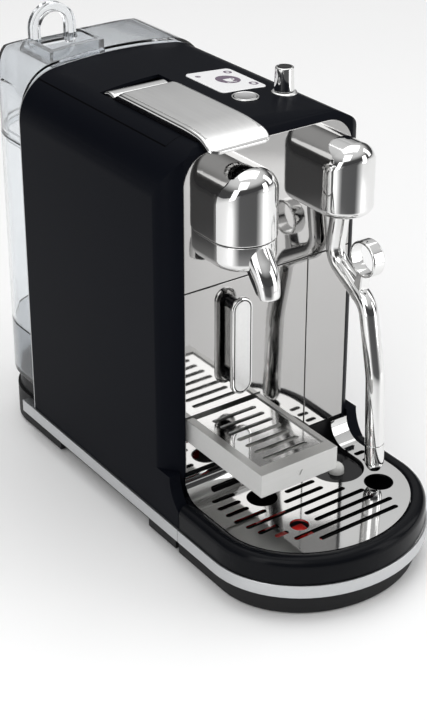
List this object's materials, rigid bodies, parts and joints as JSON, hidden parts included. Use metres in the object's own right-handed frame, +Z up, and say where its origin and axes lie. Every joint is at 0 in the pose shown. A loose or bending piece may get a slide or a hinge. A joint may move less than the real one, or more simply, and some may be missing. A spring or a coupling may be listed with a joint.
{
  "type": "pod coffee machine",
  "caption": "Countertop capsule coffee machine with a brewing head and spout, a steam wand, a lift lever, a pull-out cup support and capsule container, a drip tray and a rear water tank.",
  "frame": {"origin": "middle of the machine's footprint, on the counter", "axes": "+Z up, -Y towards the front where the cup stands, +X to the right seen from the front"},
  "size_m": [0.171, 0.393, 0.335],
  "materials": {
    "shell_paint": "satin blue-black paint",
    "base_plastic": "fine-textured dark plastic",
    "frame_plastic": "black moulded plastic",
    "gloss_black": "polished black plastic",
    "satin_strip": "satin silver",
    "satin_alloy": "brushed satin",
    "mirror_steel": "mirror polished",
    "chrome_trim": "polished chrome plate",
    "inner_steel": "plain steel",
    "cast_alloy": "as cast",
    "brass_fitting": "plain brass",
    "board_green": "circuit board",
    "screen_black": "glossy display cover",
    "float_red": "red plastic",
    "sensor_cap": "white plastic",
    "tank_clear": "clear plastic",
    "tank_smoke": "smoked translucent plastic",
    "rubber_feet": "matt rubber"
  },
  "bodies": {
    "machine": {"base_pan": "base_plastic", "feet": "rubber_feet", "cord_gland": "rubber_feet", "body_strip": "satin_strip", "chassis": "frame_plastic", "body_shell": "shell_paint", "rear_trim": "satin_strip", "back_panel": "frame_plastic", "front_panel": "mirror_steel", "side_panel": "mirror_steel", "tank_dock": "base_plastic", "coffee_head": "chrome_trim", "coffee_collar": "chrome_trim", "coffee_spout": "chrome_trim", "spout_liner": "gloss_black", "brew_plate": "inner_steel", "steam_head": "chrome_trim", "wand_pin": "inner_steel", "lever_pin": "inner_steel", "screen_glass": "screen_black", "display_module": "board_green", "button_ring": "chrome_trim", "button_switch": "frame_plastic", "knob_collar": "chrome_trim", "knob_encoder": "frame_plastic", "sensor_arm": "gloss_black", "pump": "frame_plastic", "thermoblock": "cast_alloy", "steam_pipe": "inner_steel", "solenoid_valve": "brass_fitting", "flow_meter": "frame_plastic", "control_board": "board_green"},
    "container": {"container_body": "frame_plastic", "container_front": "mirror_steel", "container_handle": "chrome_trim"},
    "cup_support": {"cup_support_box": "satin_alloy", "cup_support_top": "mirror_steel"},
    "tray": {"tray_base": "base_plastic", "tray_strip": "satin_strip", "tray_rim": "gloss_black", "tray_pan": "frame_plastic"},
    "grille": {"drip_grille": "mirror_steel"},
    "float": {"tray_float": "float_red"},
    "sensor": {"temp_sensor": "sensor_cap"},
    "lever": {"lever_frame": "gloss_black", "lever_plate": "satin_alloy"},
    "link": {"lever_link": "inner_steel"},
    "cage": {"capsule_cage": "frame_plastic"},
    "button": {"start_button": "satin_alloy"},
    "knob": {"knob": "chrome_trim"},
    "wand": {"wand_ball": "gloss_black", "steam_wand": "chrome_trim", "steam_tip": "chrome_trim", "wand_ring": "chrome_trim"},
    "tank": {"water_tank": "tank_clear", "tank_foot_cup": "tank_smoke", "tank_valve": "sensor_cap"},
    "lid": {"tank_lid": "tank_smoke"},
    "handle": {"tank_handle": "tank_clear"}
  },
  "joints": [
    {"name": "lever_lift", "type": "hinge", "parent": "machine", "child": "lever", "pos_m": [-0.03, 0.0465, 0.296], "axis": [-1, 0, 0], "range_deg": [0, 78]},
    {"name": "link_swing", "type": "hinge", "parent": "lever", "child": "link", "pos_m": [-0.03, 0.0325, 0.292], "axis": [-1, 0, 0], "range_deg": [-108, 0]},
    {"name": "cage_slide", "type": "slide", "parent": "machine", "child": "cage", "axis": [0, 1, 0], "range_m": [0, 0.0275]},
    {"name": "knob_turn", "type": "hinge", "parent": "machine", "child": "knob", "pos_m": [0.049, -0.0185, 0.30589], "axis": [0, 0, 1], "continuous": true},
    {"name": "button_press", "type": "slide", "parent": "machine", "child": "button", "axis": [0, 0, -1], "range_m": [0, 0.0015], "stiffness_N_per_m": 500, "springref_m": -0.001},
    {"name": "wand_lift", "type": "hinge", "parent": "machine", "child": "wand", "pos_m": [0.0505, -0.0825, 0.2475], "axis": [-1, 0, 0], "range_deg": [0, 35]},
    {"name": "container_slide", "type": "slide", "parent": "machine", "child": "container", "axis": [0, -1, 0], "range_m": [0, 0.14]},
    {"name": "cup_support_slide", "type": "slide", "parent": "container", "child": "cup_support", "axis": [0, 1, 0], "range_m": [0, 0.08]},
    {"name": "tray_slide", "type": "slide", "parent": "machine", "child": "tray", "axis": [0, -1, 0], "range_m": [0, 0.14]},
    {"name": "grille_lift", "type": "slide", "parent": "tray", "child": "grille", "axis": [0, 0, 1], "range_m": [0, 0.007]},
    {"name": "float_rise", "type": "slide", "parent": "tray", "child": "float", "axis": [0, 0, 1], "range_m": [0, 0.006]},
    {"name": "sensor_press", "type": "slide", "parent": "machine", "child": "sensor", "axis": [0, 0, -1], "range_m": [0, 0.0012], "stiffness_N_per_m": 400, "springref_m": -0.001},
    {"name": "tank_lift", "type": "slide", "parent": "machine", "child": "tank", "axis": [0, 0, 1], "range_m": [0, 0.15]},
    {"name": "lid_lift", "type": "slide", "parent": "tank", "child": "lid", "axis": [0, 0, 1], "range_m": [0, 0.08]},
    {"name": "handle_fold", "type": "hinge", "parent": "lid", "child": "handle", "pos_m": [-0.02, 0.1825, 0.305], "axis": [1, 0, 0], "range_deg": [0, 88]}
  ],
  "couplings": [
    {"joint": "link_swing", "follows": "lever_lift", "ratio": -1.365},
    {"joint": "cage_slide", "follows": "lever_lift", "m_per_rad": 0.0196}
  ]
}
